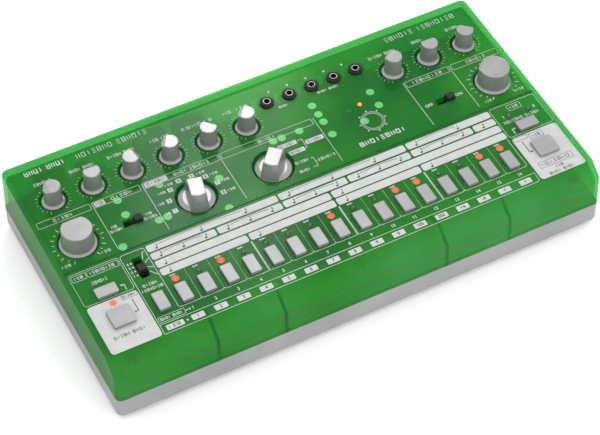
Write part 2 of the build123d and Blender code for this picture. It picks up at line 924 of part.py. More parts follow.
def push_button(name, x, y, button_width, button_length):
    """A cap in the panel, a flange under it, and a plunger down to the switch."""
    with BuildPart() as button:
        with BuildSketch(lower_panel.offset(-flange_depth)):
            with Locations((x, y)):
                RectangleRounded(button_width, button_length, button_fillet)
        extrude(amount=flange_depth + button_rise)
        fillet(button.faces().sort_by(panel_axis)[-1].edges(), button_edge)
        with BuildSketch(lower_panel.offset(-flange_depth)):
            with Locations((x, y)):
                Rectangle(button_width + 2 * button_flange, button_length + 2 * button_flange)
        extrude(amount=-button_flange_thickness)
        with BuildSketch(lower_panel.offset(-flange_depth)):
            with Locations((x, y)):
                Circle(plunger_radius)
        extrude(amount=flange_depth - plunger_depth)
    save(button, name)


for places, button_width, button_length in button_kinds:
    for button_name, (x, y) in places.items():
        push_button(button_name, x, y, button_width, button_length)

with BuildPart() as tact_switches:
    with BuildSketch(lower_panel.offset(-lower_board_depth)):
        with Locations(*all_buttons.values()):
            Rectangle(switch_size, switch_size)
    extrude(amount=switch_height)
    with BuildSketch(lower_panel.offset(-switch_top_depth)):
        with Locations(*all_buttons.values()):
            Circle(plunger_radius + running_clearance)
    extrude(amount=-switch_bore_depth, mode=Mode.SUBTRACT)
save(tact_switches, "tact_switches")

# ---------------------------------------------------------------- lamps


def lamp_row(panel, depth_to_board, places):
    """Lamps on spacers, with domes that stand in the panel's holes."""
    for x, y in places:
        plane = at_panel(panel, x, y)
        section = Plane(origin=plane.origin, x_dir=plane.x_dir, z_dir=-plane.y_dir)
        with BuildSketch(section) as profile:
            with BuildLine():
                Polyline(
                    (0, -depth_to_board),
                    (lamp_base_radius, -depth_to_board),
                    (lamp_base_radius, lamp_base_height - depth_to_board),
                    (lamp_radius, lamp_base_height - depth_to_board),
                    (lamp_radius, lamp_rise - lamp_radius),
                )
                CenterArc((0, lamp_rise - lamp_radius), lamp_radius, 0, 90)
                Line((0, lamp_rise), (0, -depth_to_board))
            make_face()
        revolve(profile.sketch, axis=Axis(plane.origin, plane.z_dir))


with BuildPart() as leds:
    lamp_row(lower_panel, lower_board_depth, lower_lamps)
    lamp_row(upper_panel, board_depth, [drive_lamp])
save(leds, "leds")

# ---------------------------------------------------------------- slide switches

scale_travel = scale_switch_pitch * (scale_switch_places - 1)
level_travel = level_slot_length - lever_length - 2 * lever_side_gap
scale_rest_y = scale_switch[1] - scale_travel / 2 + scale_switch_pitch * scale_switch_rest
level_width = level_slot_width - 2 * lever_side_gap
scale_width = scale_slot_width - 2 * lever_side_gap


def switch_lever(name, panel, centre, size_x, size_y):
    """A lever in the panel's slot, with a tongue down into the switch."""
    with BuildPart() as lever:
        with BuildSketch(panel.offset(-lever_shoulder_depth)):
            with Locations(centre):
                Rectangle(size_x, size_y)
        extrude(amount=lever_shoulder_depth + lever_rise)
        with BuildSketch(panel.offset(-lever_shoulder_depth)):
            with Locations(centre):
                Rectangle(lever_tongue_size, lever_tongue_size)
        extrude(amount=lever_shoulder_depth - lever_tongue_depth)
    save(lever, name)


voice_rest = (voice_switch[0] + level_travel / 2, voice_switch[1])
drive_rest = (drive_switch[0] + level_travel / 2, drive_switch[1])
scale_rest = (scale_switch[0], scale_rest_y)
switch_lever("voice_switch_slider", upper_panel, voice_rest, lever_length, level_width)
switch_lever("drive_switch_slider", upper_panel, drive_rest, lever_length, level_width)
switch_lever("scale_switch_slider", lower_panel, scale_rest, scale_width, lever_length)

groove_width = lever_tongue_size + 2 * lever_side_gap
level_groove_length = level_travel + groove_width
scale_groove_length = scale_travel + groove_width

with BuildPart() as slide_switch_bodies:
    with BuildSketch(board_top):
        with Locations(voice_switch, drive_switch):
            Rectangle(level_groove_length + 2 * slide_can_margin, slide_can_width)
        with Locations(scale_switch):
            Rectangle(slide_can_width, scale_groove_length + 2 * slide_can_margin)
    extrude(amount=slide_can_height)
    with BuildSketch(board_top.offset(slide_can_height)):
        with Locations(voice_switch, drive_switch):
            Rectangle(level_groove_length, groove_width)
        with Locations(scale_switch):
            Rectangle(groove_width, scale_groove_length)
    extrude(amount=-slide_groove_depth, mode=Mode.SUBTRACT)
save(slide_switch_bodies, "slide_switch_bodies")

# ---------------------------------------------------------------- sockets in the panel

with BuildPart() as panel_jacks:
    with BuildSketch(board_top):
        with Locations(*panel_jack_places):
            Rectangle(jack_body_size, jack_body_size)
    extrude(amount=board_depth - wall - jack_seat_gap)
    with BuildSketch(board_top):
        with Locations(*panel_jack_places):
            Circle(jack_bush_radius)
    extrude(amount=board_depth + jack_bush_rise)
    with BuildSketch(board_top):
        with Locations(*panel_jack_places):
            Circle(jack_bore_radius)
    extrude(amount=board_depth + jack_bush_rise, mode=Mode.SUBTRACT)
save(panel_jacks, "panel_jacks")

with BuildPart() as jack_nuts:
    with BuildSketch(upper_panel):
        with Locations(*panel_jack_places):
            Circle(jack_nut_radius)
            Circle(jack_bush_radius + screw_thread_gap, mode=Mode.SUBTRACT)
    extrude(amount=jack_nut_height)
    outer_edges = jack_nuts.edges().filter_by(GeomType.CIRCLE).group_by(SortBy.RADIUS)[-1]
    chamfer(outer_edges.group_by(panel_axis)[-1], nut_chamfer)
save(jack_nuts, "jack_nuts")

# ---------------------------------------------------------------- sockets in the back wall

with BuildPart() as rear_jacks:
    for x in rear_jack_places:
        with BuildSketch(rear_plane(x, rear_jack_height / 2).offset(-rear_body_setback)):
            Rectangle(rear_jack_width, rear_jack_height)
        extrude(amount=-(rear_jack_depth - rear_body_setback))
        with BuildSketch(rear_plane(x, rear_jack_axis_height)):
            Circle(rear_jack_nose_radius)
        extrude(amount=-rear_jack_depth)
        with BuildSketch(rear_plane(x, rear_jack_axis_height)):
            Circle(jack_bore_radius)
        extrude(amount=-rear_jack_depth, mode=Mode.SUBTRACT)
save(rear_jacks, "rear_jacks")

with BuildPart() as midi_sockets:
    for x in midi_socket_x:
        face_plane = rear_plane(x, midi_body_height / 2)
        with BuildSketch(face_plane.offset(-rear_body_setback)):
            Rectangle(midi_body_width, midi_body_height)
        extrude(amount=-(midi_body_depth - rear_body_setback))
        with BuildSketch(face_plane):
            Circle(midi_nose_radius)
        extrude(amount=-midi_body_depth)
        with BuildSketch(face_plane):
            Circle(midi_groove_radius)
            Circle(midi_core_radius, mode=Mode.SUBTRACT)
            with Locations((0, -midi_core_radius)):
                Rectangle(midi_key_width, midi_key_width)
        extrude(amount=-midi_groove_depth, mode=Mode.SUBTRACT)
        with BuildSketch(face_plane):
            with PolarLocations(midi_pin_circle, 5, 0, 180):
                Circle(midi_pin_radius)
        extrude(amount=-midi_groove_depth, mode=Mode.SUBTRACT)
save(midi_sockets, "midi_sockets")

with BuildPart() as usb_socket:
    face_plane = rear_plane(usb_x, usb_height / 2)
    with BuildSketch(face_plane):
        Rectangle(usb_width, usb_height)
    extrude(amount=-usb_depth)
    with BuildSketch(face_plane):
        Rectangle(usb_mouth_width, usb_mouth_height)
    extrude(amount=-usb_cavity_depth, mode=Mode.SUBTRACT)
    with BuildSketch(face_plane.offset(-usb_cavity_depth)):
        Rectangle(usb_tongue_width, usb_tongue_height)
    extrude(amount=usb_tongue_depth)
save(usb_socket, "usb_socket")

with BuildPart() as dc_inlet:
    with BuildSketch(rear_plane(dc_x, dc_height / 2).offset(-rear_body_setback)):
        Rectangle(dc_width, dc_height)
    extrude(amount=-(dc_depth - rear_body_setback))
    with BuildSketch(rear_plane(dc_x, dc_axis_height)):
        Circle(dc_nose_radius)
    extrude(amount=-dc_depth)
    with BuildSketch(rear_plane(dc_x, dc_axis_height)):
        Circle(dc_bore_radius)
        Circle(dc_pin_radius, mode=Mode.SUBTRACT)
    extrude(amount=-dc_bore_depth, mode=Mode.SUBTRACT)
save(dc_inlet, "dc_inlet")

# ---------------------------------------------------------------- power switch

power_plane = rear_plane(power_x, power_axis_height)
rocker_origin = (power_x, rear_face_y - rocker_pivot_depth, rear_board_top + power_axis_height)
rocker_lean = (-cos(radians(rocker_tilt)), -sin(radians(rocker_tilt)), 0)
rocker_plane = Plane(origin=rocker_origin, x_dir=rocker_lean, z_dir=(0, 0, 1))
pivot_span = power_mouth_height + 2 * rocker_pivot_length

with BuildPart() as power_switch_body:
    with BuildSketch(power_plane):
        Rectangle(power_body_width, power_body_height)
    extrude(amount=-power_body_depth)
    with BuildSketch(power_plane):
        Rectangle(power_mouth_width, power_mouth_height)
    extrude(amount=-power_mouth_depth, mode=Mode.SUBTRACT)
    with BuildSketch(rocker_plane):
        Circle(rocker_pivot_radius + running_clearance)
    extrude(amount=(pivot_span + slip_clearance) / 2, both=True, mode=Mode.SUBTRACT)
    with BuildSketch(Plane.XY.offset(rear_board_top)):
        with Locations((power_x, rear_face_y - power_body_depth / 2)):
            Rectangle(power_body_width - 2 * wall, power_body_depth - 4 * wall)
    extrude(amount=power_axis_height - power_body_height / 2)
save(power_switch_body, "power_switch_body")

with BuildPart() as power_switch_rocker:
    with BuildSketch(rocker_plane):
        with BuildLine():
            Polyline(
                (-rocker_half_length, -rocker_crown),
                (0, -rocker_waist),
                (rocker_half_length, -rocker_crown),
                (rocker_half_length, 0),
                (rocker_waist, rocker_waist),
                (-rocker_waist, rocker_waist),
                (-rocker_half_length, 0),
                close=True,
            )
        make_face()
    extrude(amount=rocker_height / 2, both=True)
    with BuildSketch(rocker_plane):
        Circle(rocker_pivot_radius)
    extrude(amount=pivot_span / 2, both=True)
save(power_switch_rocker, "power_switch_rocker")

# ---------------------------------------------------------------- ribbon cable


def corner_radii(route):
    """The largest corner radii that a route's runs leave room for."""
    points = [Vector(0, y, z) for y, z in route]
    radii = []
    for before, corner, after in zip(points, points[1:], points[2:]):
        turn = (corner - before).get_angle(after - corner)
        run = min((corner - before).length, (after - corner).length)
        radii.append(ribbon_run_share * run / tan(radians(turn / 2)))
    return radii


ribbon_top_z = board_under.origin.Z + slope * ribbon_start_y
ribbon_start_z = ribbon_top_z - ribbon_plug_height + ribbon_plug_overlap
ribbon_floor_z = floor_top + ribbon_floor_gap
ribbon_end_z = rear_board_top + ribbon_end_rise
ribbon_route = (
    (ribbon_start_y, ribbon_start_z),
    (ribbon_start_y, ribbon_floor_z),
    (rear_board_front_y - ribbon_turn_reach, ribbon_floor_z),
    (rear_board_front_y - ribbon_climb_reach, ribbon_end_z),
    (rear_board_front_y + ribbon_end_depth, ribbon_end_z),
)
ribbon_radii = corner_radii(ribbon_route)
print("ribbon cable radii", [round(radius, 1) for radius in ribbon_radii])

with BuildPart() as ribbon_cable:
    with BuildLine(Plane(origin=(ribbon_x, 0, 0), x_dir=(0, 1, 0), z_dir=(1, 0, 0))) as route:
        FilletPolyline(*ribbon_route, radius=ribbon_radii)
    with BuildSketch(Plane(origin=route.line @ 0, x_dir=(1, 0, 0), z_dir=route.line % 0)):
        Rectangle(ribbon_width, ribbon_thickness)
    sweep()
    # plugs on the two boards
    with BuildSketch(at_panel(board_under, ribbon_x, ribbon_route[0][0])):
        Rectangle(ribbon_plug_length, ribbon_plug_depth)
    extrude(amount=-ribbon_plug_height)
    with BuildSketch(Plane.XY.offset(rear_board_top)):
        with Locations((ribbon_x, ribbon_route[-1][0] + ribbon_plug_depth / 2)):
            Rectangle(ribbon_plug_length, ribbon_plug_depth)
    extrude(amount=ribbon_plug_height)
save(ribbon_cable, "ribbon_cable")
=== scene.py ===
import json
from math import cos, pi, radians, sin

import bmesh
import bpy
from mathutils import Matrix, Vector


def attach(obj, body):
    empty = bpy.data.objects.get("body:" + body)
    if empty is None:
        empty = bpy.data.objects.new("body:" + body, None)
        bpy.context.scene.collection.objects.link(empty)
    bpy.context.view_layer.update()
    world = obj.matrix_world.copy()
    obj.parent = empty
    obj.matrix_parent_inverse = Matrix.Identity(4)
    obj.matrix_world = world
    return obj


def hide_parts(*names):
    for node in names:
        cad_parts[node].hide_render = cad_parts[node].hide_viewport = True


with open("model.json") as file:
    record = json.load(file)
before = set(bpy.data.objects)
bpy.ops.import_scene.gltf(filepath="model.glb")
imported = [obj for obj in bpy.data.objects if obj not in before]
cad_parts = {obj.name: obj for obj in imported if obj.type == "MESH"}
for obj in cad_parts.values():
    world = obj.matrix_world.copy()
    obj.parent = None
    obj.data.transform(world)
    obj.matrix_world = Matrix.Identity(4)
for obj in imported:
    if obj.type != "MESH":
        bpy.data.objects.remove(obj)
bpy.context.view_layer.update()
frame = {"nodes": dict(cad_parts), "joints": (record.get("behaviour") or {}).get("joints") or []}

MM = 0.001
scene = bpy.context.scene

# ---------------------------------------------------------------- camera, floor and light
# A long lens looks down on the machine from the player's left, in an evenly lit white studio.
# A small softbox behind it shines in the knobs' tops, and a wide one in front lights its sides.
view_yaw = radians(-27.697)
view_pitch = radians(49.571)
view_distance = 1223.9 * MM
view_aside = Vector((-0.894, 0.815)) * MM
view_aim = Vector((0, 0, 3)) * MM
lens_mm = 126.28
floor_half = 6.0
studio_strength = 1.45

toward_camera = Vector((sin(view_yaw) * cos(view_pitch), -cos(view_yaw) * cos(view_pitch), sin(view_pitch)))
camera_right = Vector((cos(view_yaw), sin(view_yaw), 0))
camera_up = toward_camera.cross(camera_right)
camera = bpy.data.objects.new("camera", bpy.data.cameras.new("camera"))
camera.data.lens = lens_mm
camera.data.sensor_width = 36
camera.data.clip_end = 20
camera.matrix_world = Matrix.Translation(
    view_aim + toward_camera * view_distance + camera_right * view_aside.x + camera_up * view_aside.y
) @ Matrix((camera_right, camera_up, toward_camera)).transposed().to_4x4()
scene.collection.objects.link(camera)
scene.camera = camera
scene.view_settings.view_transform = "Standard"


class Wire:
    """A shader socket that takes part in plain arithmetic."""

    def __init__(self, paint, socket):
        self.paint = paint
        self.socket = socket

    def math(self, operation, *values):
        return self.paint.node("ShaderNodeMath", {"operation": operation}, dict(enumerate(values)))

    def __add__(self, other):
        return self.math("ADD", self, other)

    def __radd__(self, other):
        return self.math("ADD", other, self)

    def __sub__(self, other):
        return self.math("SUBTRACT", self, other)

    def __rsub__(self, other):
        return self.math("SUBTRACT", other, self)

    def __mul__(self, other):
        return self.math("MULTIPLY", self, other)

    def __rmul__(self, other):
        return self.math("MULTIPLY", other, self)

    def __lt__(self, other):
        return self.math("LESS_THAN", self, other)

    def __gt__(self, other):
        return self.math("GREATER_THAN", self, other)

    def __abs__(self):
        return self.math("ABSOLUTE", self)

    def ramp(self, *stops):
        """A colour ramp over this value, from (position, colour) stops."""
        return self.paint.node("ShaderNodeValToRGB", {"stops": stops}, {"Fac": self})


class Paint:
    """A node material: a principled shader, and nodes that feed it."""

    def __init__(self, name, **inputs):
        self.material = bpy.data.materials.new(name)
        self.material.use_nodes = True
        self.tree = self.material.node_tree
        self.tree.nodes.clear()
        self.shader = self.node("ShaderNodeBsdfPrincipled", {}, inputs).socket.node
        self.output = self.tree.nodes.new("ShaderNodeOutputMaterial")
        self.tree.links.new(self.shader.outputs[0], self.output.inputs["Surface"])

    def node(self, kind, settings, inputs, output=0):
        """Any node, from its type, its settings and what feeds its sockets; it gives one output."""
        made = self.tree.nodes.new(kind)
        for name, value in settings.items():
            if name == "stops":
                self.set_stops(made.color_ramp, value)
            else:
                setattr(made, name, value)
        for name, value in inputs.items():
            self.feed(made.inputs[name.replace("_", " ") if isinstance(name, str) else name], value)
        return Wire(self, made.outputs[output])

    def set_stops(self, ramp, stops):
        for index, (position, colour) in enumerate(stops):
            element = ramp.elements[index] if index < len(ramp.elements) else ramp.elements.new(position)
            element.position = position
            element.color = (*colour, 1)

    def feed(self, socket, value):
        if isinstance(value, Wire):
            self.tree.links.new(value.socket, socket)
        elif isinstance(value, tuple) and len(value) == 3 and socket.type == "RGBA":
            socket.default_value = (*value, 1)
        else:
            socket.default_value = value

    def set(self, **inputs):
        for name, value in inputs.items():
            self.feed(self.shader.inputs[name.replace("_", " ")], value)

    def place(self, axis=None):
        """Where a point of the surface is, or how far it is along one axis."""
        place = self.node("ShaderNodeTexCoord", {}, {}, "Object")
        return place if axis is None else self.node("ShaderNodeSeparateXYZ", {}, {"Vector": place}, axis)

    def noise(self, scale, detail=2.0):
        inputs = {"Vector": self.place(), "Scale": scale, "Detail": detail}
        return self.node("ShaderNodeTexNoise", {}, inputs)

    def mottle(self, dark, light, scale, detail=2.0):
        """A base colour that wanders from one tone to another."""
        self.set(Base_Color=self.noise(scale, detail).ramp((0.3, dark), (0.7, light)))

    def bump(self, scale, strength, distance):
        """A fine moulded grain."""
        inputs = {"Height": self.noise(scale), "Strength": strength, "Distance": distance}
        self.set(Normal=self.node("ShaderNodeBump", {}, inputs))


def grey(tone):
    return (tone, tone, tone)


floor_paint = Paint("floor_white", Base_Color=grey(0.9), Roughness=0.9)
floor_mesh = bpy.data.meshes.new("floor")
floor_corners = [(floor_half * x, floor_half * y, 0) for x, y in ((-1, -1), (1, -1), (1, 1), (-1, 1))]
floor_mesh.from_pydata(floor_corners, [], [(0, 1, 2, 3)])
floor_mesh.materials.append(floor_paint.material)
floor = bpy.data.objects.new("floor", floor_mesh)
scene.collection.objects.link(floor)

scene.world = bpy.data.worlds.new("studio")
scene.world.use_nodes = True
studio_light = scene.world.node_tree.nodes["Background"]
studio_light.inputs["Color"].default_value = (1, 1, 1, 1)
studio_light.inputs["Strength"].default_value = studio_strength


def softbox(name, place, aim, width, height, power):
    """A rectangular lamp at a place that faces an aim."""
    light = bpy.data.lights.new(name, "AREA")
    light.shape = "RECTANGLE"
    light.size = width
    light.size_y = height
    light.energy = power
    box = bpy.data.objects.new(name, light)
    facing = (Vector(place) - Vector(aim)).to_track_quat("Z", "Y").to_matrix().to_4x4()
    box.matrix_world = Matrix.Translation(place) @ facing
    scene.collection.objects.link(box)


softbox("mirror_box", place=(0.42, 1.0, 1.25), aim=(-0.06, 0.02, 0.04), width=0.22, height=0.4, power=2.3)
softbox("front_box", place=(0.42, -1.2, 0.6), aim=(0, 0, 0.04), width=0.9, height=0.7, power=4.0)

# ---------------------------------------------------------------- grey tray
# The lower shell is moulded grey ABS with a fine spark-eroded texture. Screws hold the upper
# shell down on its posts, and four rubber feet are glued under it.
nodes = frame["nodes"]


def dress(paint, *names):
    """Give CAD nodes a finish."""
    for name in names:
        mesh = nodes[name].data
        mesh.materials.clear()
        mesh.materials.append(paint.material)


tray_paint = Paint("tray_grey", Roughness=0.5, Specular_IOR_Level=0.4)
tray_paint.mottle((0.22, 0.225, 0.225), (0.26, 0.265, 0.26), 40.0, 3.0)
tray_paint.bump(2600.0, 0.25, 0.06 * MM)
dress(tray_paint, "bottom_shell")

foot_paint = Paint("foot_rubber", Roughness=0.8, Specular_IOR_Level=0.3)
foot_paint.mottle(grey(0.02), grey(0.035), 300.0)
foot_paint.bump(1500.0, 0.3, 0.1 * MM)
dress(foot_paint, "rubber_feet")

steel_paint = Paint("screw_steel", Metallic=1.0, Base_Color=(0.55, 0.55, 0.57))
steel_paint.set(Roughness=steel_paint.noise(900.0) * 0.3 + 0.2)
dress(steel_paint, "case_screws", "board_screws")

# ---------------------------------------------------------------- boards and what they carry
# Both boards are glass epoxy under green solder resist. Cans, chips and the bodies of the
# controls are soldered on, and a ribbon cable joins the two boards.
board_paint = Paint("board_resist", Roughness=0.45)
board_copper = board_paint.noise(70.0, 1.0)
board_paint.set(Base_Color=board_copper.ramp((0.44, (0.02, 0.12, 0.04)), (0.52, (0.04, 0.21, 0.06))))
dress(board_paint, "panel_board", "rear_board")

sleeve_paint = Paint("can_sleeve", Roughness=0.5)
sleeve_paint.mottle((0.02, 0.07, 0.03), (0.03, 0.1, 0.04), 500.0)
# The bare can tops are aluminium. Their emission is painted light, standing in for the light that reaches
# them through the shell.
can_glow_paint = Paint("can_aluminium_painted_glow", Roughness=0.45, Emission_Strength=1.3, Emission_Color=(2.8, 1.15, 2.3))
can_glow_paint.mottle(grey(0.82), grey(0.95), 500.0)


def sorted_copy(name, node, paints, choose):
    """A merged copy of a CAD node with a finish chosen for each face; it stands for the node."""
    form = bmesh.new()
    form.from_mesh(nodes[node].data)
    form.transform(nodes[node].matrix_world)
    bmesh.ops.remove_doubles(form, verts=form.verts, dist=0.001 * MM)
    for face in form.faces:
        face.normal_update()
        face.material_index = choose(face.calc_center_median() / MM, face.normal)
        face.smooth = False
    mesh = bpy.data.meshes.new(name)
    form.to_mesh(mesh)
    form.free()
    for paint in paints:
        mesh.materials.append(paint.material)
    copy = bpy.data.objects.new(name, mesh)
    scene.collection.objects.link(copy)
    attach(copy, "case")
    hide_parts(node)


def bare_top(spot, normal):
    """A can's sleeve leaves its flat aluminium top bare."""
    return int(normal.z > 0.9)


sorted_copy("cans", "capacitors", (sleeve_paint, can_glow_paint), bare_top)

chip_paint = Paint("chip_epoxy", Roughness=0.55)
chip_paint.mottle(grey(0.012), grey(0.03), 800.0)
dress(chip_paint, "chips")

control_paint = Paint("control_body", Roughness=0.4, Metallic=0.5)
control_paint.mottle((0.03, 0.033, 0.033), (0.06, 0.063, 0.06), 400.0)
dress(control_paint, "potentiometers", "rotary_switches", "tact_switches")

ribbon_paint = Paint("ribbon_wires", Roughness=0.5)
ribbon_wires = ribbon_paint.node(
    "ShaderNodeTexWave",
    {"wave_type": "BANDS", "bands_direction": "X"},
    {"Vector": ribbon_paint.place(), "Scale": 250.0},
)
ribbon_paint.set(Base_Color=ribbon_wires.ramp((0.35, (0.25, 0.26, 0.28)), (0.6, (0.5, 0.51, 0.53))))
dress(ribbon_paint, "ribbon_cable")

# ---------------------------------------------------------------- top shell
# The upper housing is one injection moulding in clear green plastic, glossy outside. Boards,
# bosses and cans show dimly through it. Its front slope is painted paler, a painted light for the grey
# tray seen through it, and painted shade darkens four stripes where ribs stand inside it.
shell_tones = ((0.35, (0.01, 0.15, 0.03)), (0.65, (0.035, 0.27, 0.03)), (0.95, (0.07, 0.34, 0.09)))
shell_tint = (0.36, 0.86, 0.42)
shell_body = 0.42
slope_from = -60 * MM
slope_to = -74 * MM
slope_light_lift = 0.24
rib_places = (50.5 * MM, 91.5 * MM)
rib_half = 0.9 * MM
rib_shade = 1.7

shell_paint = Paint("clear_green", Roughness=0.12, Specular_IOR_Level=0.2)
# Painted light and shade: the base colour grows paler down the front slope and darker in stripes at the
# four ribs.
shell_slope_painted_light = shell_paint.node("ShaderNodeMapRange", {}, {
    "Value": shell_paint.place("Y"), "From_Min": slope_from, "From_Max": slope_to, "To_Max": slope_light_lift})
shell_aside = abs(shell_paint.place("X"))
shell_rib_painted_shade = sum(abs(shell_aside - rib_place) < rib_half for rib_place in rib_places)
shell_tone_and_painted_light = shell_paint.noise(14.0) + shell_slope_painted_light - shell_rib_painted_shade * shell_slope_painted_light * rib_shade
shell_paint.set(Base_Color=shell_tone_and_painted_light.ramp(*shell_tones))
shell_clear = shell_paint.node("ShaderNodeBsdfTransparent", {}, {"Color": shell_tint})
shell_solid = Wire(shell_paint, shell_paint.shader.outputs[0])
shell_mix = shell_paint.node("ShaderNodeMixShader", {}, {0: shell_body, 1: shell_clear, 2: shell_solid})
shell_paint.tree.links.new(shell_mix.socket, shell_paint.output.inputs["Surface"])
dress(shell_paint, "top_shell")

# ---------------------------------------------------------------- printing on the panel
# White and dark pad printing lies on the panel in thin films. Places on the panel are in
# millimetres along it and up its slope, from the middle of the case.
knob_joint = next(joint for joint in frame["joints"] if joint["name"] == "tempo_knob_turn")
step_down = 0.75
film = 0.05
over = 0.03
lower_level = 0.0
upper_level = -step_down
corner_steps = 5
digit_size = 2.9
digit_swell = 0.06
large_word = 2.2
middle_word = 2.0
small_word = 1.9
boxed_word = 1.8
fine_line = 0.25
plain_line = 0.3
mark_line = 0.4
bold_line = 0.5

panel_up = Vector(knob_joint["axis"])
panel_back = panel_up.cross(Vector((1, 0, 0)))
level_point = Vector(knob_joint["pos_m"]) + panel_up * step_down * MM
panel_origin = Vector((0, 0, level_point.dot(panel_up) / panel_up.z))
panel_axes = Matrix((Vector((1, 0, 0)), panel_back, panel_up)).transposed().to_4x4()
panel_frame = Matrix.Translation(panel_origin) @ panel_axes @ Matrix.Scale(MM, 4)

white_ink = Paint("white_ink", Roughness=0.45)
white_ink.mottle((0.385, 0.39, 0.385), (0.43, 0.435, 0.43), 220.0, 3.0)
dark_ink = Paint("dark_ink", Roughness=0.5)
dark_ink.mottle((0.02, 0.022, 0.02), (0.035, 0.04, 0.035), 220.0, 3.0)


def rounded(left, low, right, high, radius=0.0):
    """A rounded rectangle's outline, anticlockwise."""
    if radius <= 0:
        return [(left, low), (right, low), (right, high), (left, high)]
    centres = (
        (right - radius, low + radius),
        (right - radius, high - radius),
        (left + radius, high - radius),
        (left + radius, low + radius),
    )
    loop = []
    for corner, (x, y) in enumerate(centres):
        for step in range(corner_steps + 1):
            angle = pi / 2 * (corner - 1 + step / corner_steps)
            loop.append((x + radius * cos(angle), y + radius * sin(angle)))
    return loop


def disc(x, y, radius, steps=28, squash=1.0):
    turns = [2 * pi * i / steps for i in range(steps)]
    return [(x + radius * cos(turn), y + radius * squash * sin(turn)) for turn in turns]


def plain_mesh(item):
    """The mesh that an object makes once its modifiers or its letters are worked out."""
    bpy.context.view_layer.update()
    mesh = bpy.data.meshes.new_from_object(item.evaluated_get(bpy.context.evaluated_depsgraph_get()))
    bpy.data.objects.remove(item)
    return mesh


class Print:
    """One film on a level of the panel: ink, metal, painted shade or painted glow."""

    def __init__(self, name, level, paint):
        self.name = name
        self.level = level
        self.paint = paint
        self.form = bmesh.new()

    def slab(self, loop):
        """A patch inside a closed loop."""
        low = [self.form.verts.new((x, y, self.level - film / 2)) for x, y in loop]
        high = [self.form.verts.new((x, y, self.level + film)) for x, y in loop]
        self.form.faces.new(high)
        self.form.faces.new(low[::-1])
        for i in range(len(loop)):
            j = (i + 1) % len(loop)
            self.form.faces.new((low[i], low[j], high[j], high[i]))

    def stroke(self, path, width=plain_line, closed=False, lift=0.0):
        """A line along a path, with mitred corners."""
        points = [Vector(point) for point in path]
        count = len(points)
        rings = []
        for i, point in enumerate(points):
            before = points[i - 1] if i > 0 or closed else None
            after = points[(i + 1) % count] if i < count - 1 or closed else None
            into = (point - before).normalized() if before is not None else (after - point).normalized()
            out = (after - point).normalized() if after is not None else into
            middle = (into + out).normalized()
            normal = Vector((-middle.y, middle.x))
            reach = normal * (width / 2 / max(0.5, normal.dot(Vector((-out.y, out.x)))))
            left, right = point + reach, point - reach
            high, low = self.level + (film + lift), self.level - film / 2
            corners = ((left, high), (right, high), (right, low), (left, low))
            rings.append([self.form.verts.new((spot.x, spot.y, z)) for spot, z in corners])
        for i in range(count if closed else count - 1):
            near, far = rings[i], rings[(i + 1) % count]
            for k in range(4):
                self.form.faces.new((near[k], near[(k + 1) % 4], far[(k + 1) % 4], far[k]))
        if not closed:
            self.form.faces.new(rings[0][::-1])
            self.form.faces.new(rings[-1])

    def outline(self, left, low, right, high, radius):
        self.stroke(rounded(left, low, right, high, radius), fine_line, closed=True)

    def arrow(self, x, y, way, size=0.8):
        """A filled arrow head whose point is at x, y; way is 1 or -1 for right or left."""
        back = x - way * size * 1.4
        self.slab([(x, y), (back, y + way * size), (back, y - way * size)])

    def glyphs(self, left, right, y, words, height=1.7, width=0.36):
        """A line of plain hollow shapes from left to right, in words of so many shapes."""
        word_gap = 0.7
        shape_width = 0.6
        step = (right - left) / (sum(words) + word_gap * (len(words) - 1))
        box = ((0, 0), (1, 0), (1, 1), (0, 1), (0, 0))
        shapes = (
            (box,),
            (((0, 0), (1, 0)), ((0, 0.5), (1, 0.5)), ((0, 1), (1, 1))),
            (((0.1, 0), (0.1, 1)), ((0.9, 0), (0.9, 1))),
            (((0.5, 0), (0.5, 1)),),
            (box, ((0, 0.5), (1, 0.5))),
        )
        for word in words:
            for letter in range(word):
                start = left + step * letter
                for line in shapes[(letter * 3 + word) % len(shapes)]:
                    across = [start + u * step * shape_width for u, v in line]
                    upward = [y + (v - 0.5) * (height - width) for u, v in line]
                    self.stroke(zip(across, upward), width)
            left += step * (word + word_gap)

    def text(self, body, x, y, size=digit_size):
        curve = bpy.data.curves.new(self.name, "FONT")
        curve.body = body
        curve.size = size
        curve.align_x = "CENTER"
        curve.align_y = "CENTER"
        curve.extrude = film * 0.75
        curve.offset = digit_swell
        curve.resolution_u = 3
        holder = bpy.data.objects.new(self.name, curve)
        scene.collection.objects.link(holder)
        self.add(plain_mesh(holder), x, y, film / 2)

    def add(self, mesh, x, y, rise):
        mesh.transform(Matrix.Translation((x, y, self.level + rise)))
        self.form.from_mesh(mesh)
        bpy.data.meshes.remove(mesh)

    def lay(self):
        """Finish the film and fix it to the case."""
        bmesh.ops.recalc_face_normals(self.form, faces=self.form.faces)
        mesh = bpy.data.meshes.new(self.name)
        self.form.to_mesh(mesh)
        self.form.free()
        mesh.transform(panel_frame)
        mesh.materials.clear()
        mesh.materials.append(self.paint.material)
        for face in mesh.polygons:
            face.material_index = 0
        piece = bpy.data.objects.new(self.name, mesh)
        scene.collection.objects.link(piece)
        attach(piece, "case")


# ---------------------------------------------------------------- rows of note lengths
# Four rows of rounded white bars show how the sixteen steps fall into beats. Each bar holds
# small dark notes over the steps that they stand for, and a bowed dashed line joins the short ones.
step_count = 16
step_pitch = 13.73
first_divider = -102.7
step_x = [-96.1 + 13.72 * i for i in range(step_count)]
row_left = -101.5
row_right = 117.9
row_gap = 1.2
row_round = 1.2
head_rise = 1.15
head_radius = 0.8
head_squash = 0.75
stem_aside = 0.62
stem_rise = 4.05
stem_width = 0.34
flag_width = 0.32
bow_inset = (2.2, -0.8)
bow_drop = 1.6
bow_rise = 0.7
dash_pitch = 1.1
dash_length = 0.75
dash_height = 0.5
